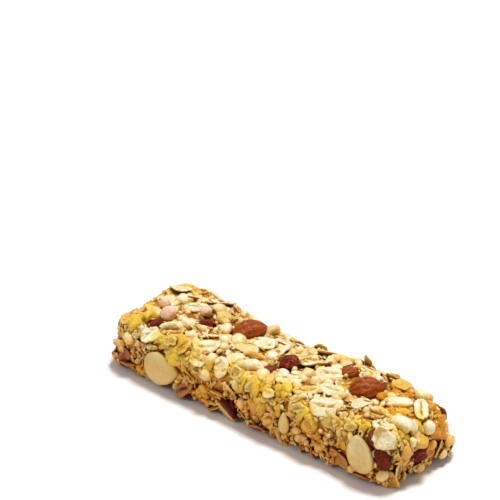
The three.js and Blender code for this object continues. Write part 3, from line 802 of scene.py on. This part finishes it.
def box_grid(size, cell, shift):
    """The points and triangles of a box's surface, cut into cells."""
    points, faces = [], []
    for axis in range(3):
        i, j = (axis + 1) % 3, (axis + 2) % 3
        ni, nj = (max(2, round(size[k] / cell)) for k in (i, j))
        for side in (-0.5, 0.5):
            start = len(points)
            for p in range(ni + 1):
                for q in range(nj + 1):
                    at = np.zeros(3)
                    at[axis], at[i] = side * size[axis], (p / ni - 0.5) * size[i]
                    at[j] = (q / nj - 0.5) * size[j]
                    points.append(at + shift)
            for p in range(ni):
                for q in range(nj):
                    a = start + p * (nj + 1) + q
                    b = a + nj + 1
                    quad = [(a, b, b + 1), (a, b + 1, a + 1)]
                    faces += quad if side > 0 else [f[::-1] for f in quad]
    return merged(np.array(points), faces, 5)


tall = HEIGHT + TUCK
block, block_faces = box_grid((LENGTH, WIDTH, tall), SYRUP_CELL, np.array([0, 0, HEIGHT - tall / 2]))
skin, outward = skin_at(block)
holders = [p for p in laid if p.kind not in ("edge", "crumb")]
holder_at = skin_at([p.at for p in holders])[0]
holder_reach = np.array([(p.length + p.width) / 4 for p in holders])
climb = np.zeros(len(skin))
for start in range(0, len(skin), BATCH):
    part = slice(start, start + BATCH)
    away = np.linalg.norm(skin[part, None] - holder_at[None], axis=2) / holder_reach
    climb[part] = bell(np.maximum(away - 0.55, 0), 0.45).max(1)
waviness = ripples(skin[None] / SYRUP_SCALE, 8, 3, 9)[0]
juicy = skin_at([p.at for p in bright_fruit])[0]
nearest = np.min([np.linalg.norm(skin - at, axis=1) for at in juicy], axis=0)
patches = capped(0.25 + 0.8 * ripples(skin[None] / SYRUP_SCALE, 6, 1, 3)[0])
patches *= skin[:, 2] < GLAZED_BELOW
glaze = capped(1.2 * bell(nearest, JELLY_REACH) + GLAZED_SIDES * patches)
rise = climb * SYRUP_CLIMB + JELLY_RISE * glaze - SYRUP_INSET + SYRUP_WAVES * waviness
syrup_skin = skin + outward * rise[:, None]
syrup_skin[:, 2] = np.maximum(syrup_skin[:, 2], SYRUP_FLOOR)
syrup_color = blend(SYRUP * (0.75 + 0.4 * climb[:, None]), GLAZE, glaze[:, None])
shapes.append(("syrup_core", syrup_skin, block_faces, syrup_color, CORE_SHADE_AND_SYRUP))

# ---- Nuts, almond slices and cranberries ----

NUT_SHADE_AND_SYRUP = 0.6
NUT_DARK, NUT_RED, NUT_GLINT = srgb(92, 30, 2), srgb(188, 86, 12), srgb(226, 154, 108)
SHADED_NUTS, NUT_PAINTED_SHADE = (3, 5), 0.6  # the small pieces of nut that stand in shade, with the shade painted into their colour
ALMOND_PALE, ALMOND_WARM, ALMOND_RIM = srgb(240, 226, 184), srgb(226, 204, 150), srgb(150, 98, 48)
ALMOND_SKIN = srgb(104, 34, 18)
WITH_SKIN = 3  # the almond slice that still has its brown skin on one side
BERRY_DEEP, BERRY_BRIGHT, BERRY_GLINT = srgb(44, 7, 1), srgb(128, 36, 10), srgb(216, 132, 104)
SHINING = 1  # the cranberry on the top, whose folds catch the light
MOST_FOLD = 0.13
NUT_PAINTED_GLINTS, BERRY_PAINTED_GLINTS, SHINING_PAINTED_GLINTS = 0.55, 0.22, 0.55  # how bright the painted glints are: a net of fine bright lines on the skin


def one_placed(local, at, turn, tip, lift):
    """One local shape laid on the skin."""
    return placed(local[None], [Piece("nut", at, 0, 0, turn, tip, -lift)], 0.05)[0]


def hazelnut(i, row):
    """A hazelnut piece, pointed at one end, with shallow ribs down its skin."""
    *at, length, width, depth, turn, lift = row
    points, faces = ball(14)
    point = np.maximum(0, points[:, 0]) ** 3
    shape = points.copy()
    shape[:, 0] += 0.12 * point
    shape[:, 1:] *= (1 - 0.22 * point)[:, None]
    around = np.arctan2(points[:, 2], points[:, 1])
    ribs = 0.014 * np.sin(17 * around + 3 * np.sin(2 * points[:, 0] + i)) * (1 - points[:, 0] ** 2)
    shape *= (1 + ribs + 0.06 * ripples(points[None], 4, 1.5, 3)[0])[:, None]
    local = shape * [length / 2.1, width / 2, depth / 2]
    streak = 0.5 + 0.5 * np.sin(11 * around + 1.5 * np.sin(3 * points[:, 0]) + i)
    colors = NUT_DARK + (NUT_RED - NUT_DARK) * capped(0.35 + 0.45 * streak)[:, None]
    lines = ripples(points[None] * [1, 2, 2], 5, 6, 11)[0]
    # Painted glints: a net of fine bright lines on the upward side of the skin
    painted_glints = bell(lines, 0.11) * capped(points[:, 2] + 0.1)
    colors += NUT_PAINTED_GLINTS * painted_glints[:, None] * (NUT_GLINT - colors)
    # Painted shade: these pieces are darkened as if in shadow
    if i in SHADED_NUTS:
        colors *= NUT_PAINTED_SHADE
    world = one_placed(local, at, turn, 0, lift)
    shapes.append((f"hazelnut_piece_{i}", world, faces, colors, NUT_SHADE_AND_SYRUP))


def almond_slice(i, row):
    """A thin almond slice: pale cut faces and a brown rim of skin."""
    *at, length, width, turn, tip, lift = row
    rings = (0.15, 0.35, 0.55, 0.72, 0.85, 0.94, 0.985)
    theta, rho, top, faces = drum(56, rings, rings)
    drop = np.sin(theta) * np.abs(np.sin(theta / 2)) ** 0.5 * 1.13
    wobble = 1 + 0.012 * np.cos(3 * theta + i) + 0.008 * np.cos(7 * theta + 2 * i)
    u, v = rho * np.cos(theta) * wobble, rho * drop * wobble
    body = SLICE_THICK / 2 * np.where(rho < 0.9, 1, np.sqrt(capped(1 - ((rho - 0.9) / 0.1) ** 2)))
    grain = 0.03 * np.sin(9 * v + 2 * u) + 0.02 * np.sin(14 * u + i)
    local = np.stack([u * length / 2, v * width / 2, top * body + grain * (rho < 0.95)], 1)
    mix = capped(0.4 + 0.4 * np.sin(3 * v + 1.3 * u + i) + 0.5 * rho**4)[:, None]
    colors = blend(ALMOND_PALE, ALMOND_WARM, mix)
    rim = (capped((rho - 0.97) / 0.03) * 0.45)[:, None]
    skin_color = ALMOND_RIM
    if i == WITH_SKIN:
        rim = np.maximum(rim, capped((v - 0.1) / 0.1)[:, None])
        skin_color = ALMOND_SKIN
    world = one_placed(local, at, turn, tip, lift)
    shapes.append((f"almond_piece_{i}", world, faces, blend(colors, skin_color, rim), NUT_SHADE_AND_SYRUP))


def cranberry(i, row):
    """A dried cranberry: an egg folded into wrinkles."""
    *at, length, width, depth, turn, lift = row
    points, faces = ball(16)
    around = np.arctan2(points[:, 2], points[:, 1])
    fold = 1 - MOST_FOLD * np.cos(5 * around) * (1 - points[:, 0] ** 2)
    creases = np.abs(ripples(points[None] * [0.7, 1.6, 1.6], 4, 2, 4)[0])
    small = np.abs(ripples(points[None] * [1, 2, 2], 5, 6, 11)[0])
    fine = 0.11 * (1 - capped(creases / 0.35)) ** 1.5 + 0.02 * (1 - capped(small / 0.4)) - 0.03
    shape = points * (1 - fine)[:, None]
    shape[:, 1:] *= fold[:, None]
    local = shape * [length / 2, width / 2, depth / 2]
    # Painted shade: darker in the folds and creases, over the berry's own dark red
    mix = capped((fold - (1 - MOST_FOLD)) / 0.5 + 5 * fine)[:, None]
    colors = blend(BERRY_BRIGHT, BERRY_DEEP, mix)
    # Painted glints: a net of fine bright lines over the skin
    painted_glints = (SHINING_PAINTED_GLINTS if i == SHINING else BERRY_PAINTED_GLINTS) * bell(small, 0.16)[:, None]
    colors += painted_glints * (BERRY_GLINT - colors)
    world = one_placed(local, at, turn, 0, lift)
    shapes.append((f"cranberry_piece_{i}", world, faces, colors, NUT_SHADE_AND_SYRUP))


for maker, rows in ((hazelnut, HAZELNUTS), (almond_slice, ALMOND_SLICES), (cranberry, CRANBERRIES)):
    for i, row in enumerate(rows, 1):
        maker(i, row)

# ---- Painted shade in the gaps, on sides turned from the light and low down, partly a syrup tint ----

CELL = 0.3
MARGIN = 6
BELOW = 5
GAP_REACH = 0.7
FAR = 2.2  # how many times further the second look into a gap goes
TIGHT_SPREAD, CROWD_SPREAD, GOLDEN_SPREAD = 3, 6, 22
SHELL = (0.15, 0.5, 0.9)  # the depths under each surface that count as filled


def vertex_normals(points, faces):
    corners = points[faces]
    across = np.cross(corners[:, 1] - corners[:, 0], corners[:, 2] - corners[:, 0])
    total = np.zeros_like(points)
    for k in range(3):
        for axis in range(3):
            total[:, axis] += np.bincount(faces[:, k], across[:, axis], len(points))
    return unit_of(total)


def blurred(grid, times):
    for _ in range(times):
        for axis in range(3):
            grid = (np.roll(grid, 1, axis) + 2 * grid + np.roll(grid, -1, axis)) / 4
    return grid


low_corner = np.array([-LENGTH / 2 - MARGIN, -WIDTH / 2 - MARGIN, -BELOW])
cells = np.ceil((np.array([LENGTH, WIDTH, HEIGHT]) + 2 * MARGIN) / CELL).astype(int)


def cell_of(points):
    return tuple(np.clip(((points - low_corner) / CELL).astype(int), 0, cells - 1).T)


filled = np.zeros(cells)
for _, points, faces, _, _ in shapes:
    normals = vertex_normals(points, faces)
    for depth in SHELL:
        filled[cell_of(points - depth * normals)] = 1
centres = np.stack(np.meshgrid(*(np.arange(c) + 0.5 for c in cells), indexing="ij"), -1) * CELL + low_corner
filled[height_over_skin(centres) < -SYRUP_INSET] = 1
tight = blurred(filled, TIGHT_SPREAD)
crowd = blurred(tight, CROWD_SPREAD)
golden = np.zeros(cells)
for name, points, *_ in shapes:
    if name == "fruit_bits":
        golden[cell_of(points)] = 1
golden = blurred(golden, GOLDEN_SPREAD)


def in_gap(points, faces):
    """How much a surface lies in a gap, and how much it turns away from the outside and upwards, where the
    light comes from: 0 to 1. Both are used as painted shade.
    """
    normals = vertex_normals(points, faces)
    out = skin_at(points)[1]
    look = unit_of(normals + 0.6 * out)
    near = crowd[cell_of(points + GAP_REACH * look)]
    far = crowd[cell_of(points + FAR * GAP_REACH * look)]
    touching = capped((tight[cell_of(points + 0.45 * look)] - 0.2) / 0.5)
    gap = capped((0.65 * near + 0.35 * far - 0.12) / 0.5) * 0.7 + 0.3 * touching
    lit = unit_of(out + [0, 0, 0.7])
    return gap[:, None], capped((0.85 - (normals * lit).sum(1, keepdims=True)) / 1.1)


# How strongly each painted darkening takes red, green and blue: painted shade in the gaps, on sides turned
# from the light, low down and deep under the skin, each partly a syrup tint; and a yellow stain near the
# fruit
STRENGTH = 1.36
SHADE_AND_SYRUP_IN_GAPS = np.array([1.15, 1.72, 4.2])
SHADE_AND_SYRUP_ON_SIDES = np.array([0.19, 0.47, 1.65])
NEAR_FRUIT = np.array([0.03, 0.17, 0.9])
LOW_DOWN = np.array([0.06, 0.42, 1.15])
DEEP_DOWN = np.array([1.1, 2.1, 3.8])
LOW_FROM = 13
DEEP_FROM = -0.3
END_FROM = 46  # the ends get more painted shade in their gaps, and less on their turned-away sides and low down

made = {}
for name, points, faces, colors, shade_and_syrup in shapes:
    gap, away = in_gap(points, faces)
    low = capped((LOW_FROM - points[:, 2:]) / 6)
    deep = capped((DEEP_FROM - height_over_skin(points)) / 1.3)[:, None]
    fruity = capped((golden[cell_of(points)] - 0.01) / 0.06)[:, None]
    ends = capped((np.abs(points[:, :1]) - END_FROM) / 3)
    # Painted shade, partly a syrup tint: darker in gaps, on sides turned from the light, low down and deep
    # under the skin; near the fruit a yellow stain
    syrup = STRENGTH * gap**1.4 * (1 + 0.33 * low + 1.1 * ends) * SHADE_AND_SYRUP_IN_GAPS
    syrup += (1 - 0.5 * ends) * (away * (1 + low) * SHADE_AND_SYRUP_ON_SIDES + low * LOW_DOWN)
    syrup += deep * DEEP_DOWN + fruity * NEAR_FRUIT
    made[name] = mesh_object(name, points, faces, colors * np.exp(-shade_and_syrup * syrup))

# ---- Materials ----

COAT_ROUGHNESS = 0.08
SOFT_RADIUS = (1.0, 0.62, 0.28)
TINT_NOISE, DULL_NOISE = (0.3, 0.7), (0.35, 0.65)  # levels of noise between which tint and gloss change
GLOSSIER, DULLER = 0.1, 0.12
SPECK_EDGE = 0.05


def set_inputs(node, values):
    """Sets a node's own sockets."""
    for socket, value in values.items():
        node.inputs[socket].default_value = value


def material(name, roughness, specular, coat, soft, reach, mottle, bump, sheen=0.0, specks=None):
    """A food surface: the pieces' own tint with mottling, fine relief, some light inside and a syrup coat.

    Soft and reach are how much light goes inside and how far, in millimetres. Mottle and bump are (size in
    millimetres, strength) and specks (size in millimetres, level, colour).
    """
    made = bpy.data.materials.new(name)
    made.use_nodes = True
    nodes, links = made.node_tree.nodes, made.node_tree.links
    shader = nodes["Principled BSDF"]
    place = nodes.new("ShaderNodeTexCoord")
    tint = nodes.new("ShaderNodeAttribute")
    tint.attribute_name = "tint"

    def noise(size, detail):
        node = nodes.new("ShaderNodeTexNoise")
        set_inputs(node, {"Scale": 1 / (size * MM), "Detail": detail})
        links.new(place.outputs["Object"], node.inputs["Vector"])
        return node.outputs["Fac"]

    def ranged(value, within, low=0.0, high=1.0):
        node = nodes.new("ShaderNodeMapRange")
        set_inputs(node, {"From Min": within[0], "From Max": within[1], "To Min": low, "To Max": high})
        links.new(value, node.inputs["Value"])
        return node.outputs["Result"]

    spots = noise(mottle[0], 4)
    shade = nodes.new("ShaderNodeVectorMath")
    shade.operation = "SCALE"
    links.new(tint.outputs["Color"], shade.inputs[0])
    links.new(ranged(spots, TINT_NOISE, 1 - mottle[1], 1 + mottle[1] * 0.4), shade.inputs["Scale"])
    color = shade.outputs["Vector"]
    if specks:
        size, level, speck_color = specks
        blend = nodes.new("ShaderNodeMix")
        blend.data_type, blend.blend_type = "RGBA", "MULTIPLY"
        links.new(ranged(noise(size, 2), (level, level + SPECK_EDGE)), blend.inputs["Factor"])
        links.new(color, blend.inputs["A"])
        blend.inputs["B"].default_value = (*speck_color, 1)
        color = blend.outputs["Result"]
    dull = ranged(spots, DULL_NOISE, roughness - GLOSSIER, roughness + DULLER)
    relief = nodes.new("ShaderNodeBump")
    set_inputs(relief, {"Strength": 1.0, "Distance": bump[1] * MM})
    links.new(noise(bump[0], 5), relief.inputs["Height"])
    set_inputs(shader, {"Coat Weight": coat, "Coat Roughness": COAT_ROUGHNESS, "Sheen Weight": sheen})
    set_inputs(shader, {"Subsurface Weight": soft, "Subsurface Radius": SOFT_RADIUS})
    set_inputs(shader, {"Subsurface Scale": reach * MM, "Specular IOR Level": specular})
    links.new(color, shader.inputs["Base Color"])
    links.new(dull, shader.inputs["Roughness"])
    links.new(relief.outputs["Normal"], shader.inputs["Normal"])
    links.new(relief.outputs["Normal"], shader.inputs["Coat Normal"])
    return made


# roughness, specular, coat, soft, reach, mottle, bump, sheen, specks
LOOKS = {
    "oat": (0.42, 0.14, 0.5, 0.2, 0.4, (0.9, 0.2), (0.55, 0.32), 0.0, (0.55, 0.66, (0.72, 0.48, 0.25))),
    "crisp": (0.36, 0.14, 0.6, 0.3, 0.5, (0.9, 0.16), (0.7, 0.25)),
    "fruit": (0.24, 0.1, 0.55, 0.4, 0.7, (1.3, 0.2), (0.7, 0.35)),
    "syrup": (0.22, 0.1, 0.5, 0.15, 0.6, (2.0, 0.2), (0.8, 0.3)),
    "hazelnut_skin": (0.4, 0.1, 0.06, 0.1, 0.5, (0.9, 0.35), (0.5, 0.2), 0.02),
    "almond_flesh": (0.5, 0.18, 0.0, 0.3, 0.6, (1.4, 0.11), (0.6, 0.05)),
    "cranberry_skin": (0.34, 0.06, 0.06, 0.12, 0.7, (0.8, 0.3), (0.5, 0.2)),
}
looks = {name: material(name, *row) for name, row in LOOKS.items()}

GRANOLA = {
    "oat_flakes": "oat",
    "oat_bits": "oat",
    "oat_shards": "oat",
    "puffed_rice": "crisp",
    "fruit_bits": "fruit",
    "raisins": "cranberry_skin",
    "crumbs": "oat",
    "syrup_core": "syrup",
}
dressed = [(name, looks[look], "granola", ["bar"]) for name, look in GRANOLA.items()]
for piece, look, slot, node, rows in (
    ("hazelnut_piece", "hazelnut_skin", "hazelnut", "hazelnut", HAZELNUTS),
    ("almond_piece", "almond_flesh", "almond", "almond_slice", ALMOND_SLICES),
    ("cranberry_piece", "cranberry_skin", "cranberry", "cranberry", CRANBERRIES),
):
    for i in range(1, len(rows) + 1):
        dressed.append((f"{piece}_{i}", looks[look], slot, [f"{node}_{i}"]))
for name, look, slot, nodes in dressed:
    made[name].data.materials.append(look)
    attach(made[name], "root")
    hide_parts(*nodes)

# ---- Floor, light and camera ----

AZIMUTH, ELEVATION = math.radians(41.58), math.radians(30.61)
DISTANCE = 0.8
TARGET = np.array([0, 0, 0.009])
PIXELS_PER_MM = 3.76
FRAME_PIXELS = 500
TARGET_PIXEL = (279.4, 377.8)  # where the target shows in the frame
SENSOR = 36
FLOOR_SIZE = 4.0
FLOOR_COLOR = (0.93, 0.93, 0.93, 1)
# name, direction from the bar, distance, size, watts, colour
LIGHTS = [
    ("key", (0.02, 0.2, 0.98), 0.9, 0.2, 7.5, (1, 0.98, 0.95)),
    ("side", (0.85, -0.2, 0.5), 0.8, 0.09, 0.48, (1, 0.98, 0.95)),
    ("front", (-0.35, -0.75, 0.6), 0.8, 0.08, 1.05, (1, 0.97, 0.92)),
]
ROOM_COLOR, ROOM_STRENGTH = (1, 0.985, 0.96, 1), 0.28

sideways = math.cos(ELEVATION)
back = np.array([math.sin(AZIMUTH) * sideways, -math.cos(AZIMUTH) * sideways, math.sin(ELEVATION)])
right = np.array([math.cos(AZIMUTH), math.sin(AZIMUTH), 0])
up = np.cross(back, right)

bpy.ops.mesh.primitive_plane_add(size=FLOOR_SIZE, location=(0, 0, 0))
floor = bpy.context.object
floor.name = "floor"
paper = bpy.data.materials.new("paper")
paper.use_nodes = True
set_inputs(paper.node_tree.nodes["Principled BSDF"], {"Base Color": FLOOR_COLOR, "Roughness": 0.9})
floor.data.materials.append(paper)


def aimed(obj, at, target):
    """Stands an object at a point, facing another."""
    obj.location = at
    obj.rotation_mode = "QUATERNION"
    obj.rotation_quaternion = Vector(target - at).to_track_quat("-Z", "Y")


for name, direction, distance, size, watts, color in LIGHTS:
    data = bpy.data.lights.new(name, "AREA")
    data.shape, data.size = "SQUARE", size
    data.energy, data.color = watts, color
    softbox = bpy.data.objects.new(name, data)
    scene.collection.objects.link(softbox)
    aimed(softbox, TARGET + distance * np.array(direction), TARGET)

world = bpy.data.worlds.new("room")
scene.world = world
world.use_nodes = True
set_inputs(world.node_tree.nodes["Background"], {"Color": ROOM_COLOR, "Strength": ROOM_STRENGTH})

camera_data = bpy.data.cameras.new("camera")
camera_data.sensor_width = SENSOR
camera_data.lens = SENSOR * DISTANCE / MM / (FRAME_PIXELS / PIXELS_PER_MM)
camera = bpy.data.objects.new("camera", camera_data)
scene.collection.objects.link(camera)
middle = FRAME_PIXELS / 2
aim = TARGET - right * (TARGET_PIXEL[0] - middle) / PIXELS_PER_MM * MM
aim += up * (TARGET_PIXEL[1] - middle) / PIXELS_PER_MM * MM
aimed(camera, TARGET + back * DISTANCE, aim)
scene.camera = camera
scene.view_settings.view_transform = "Standard"
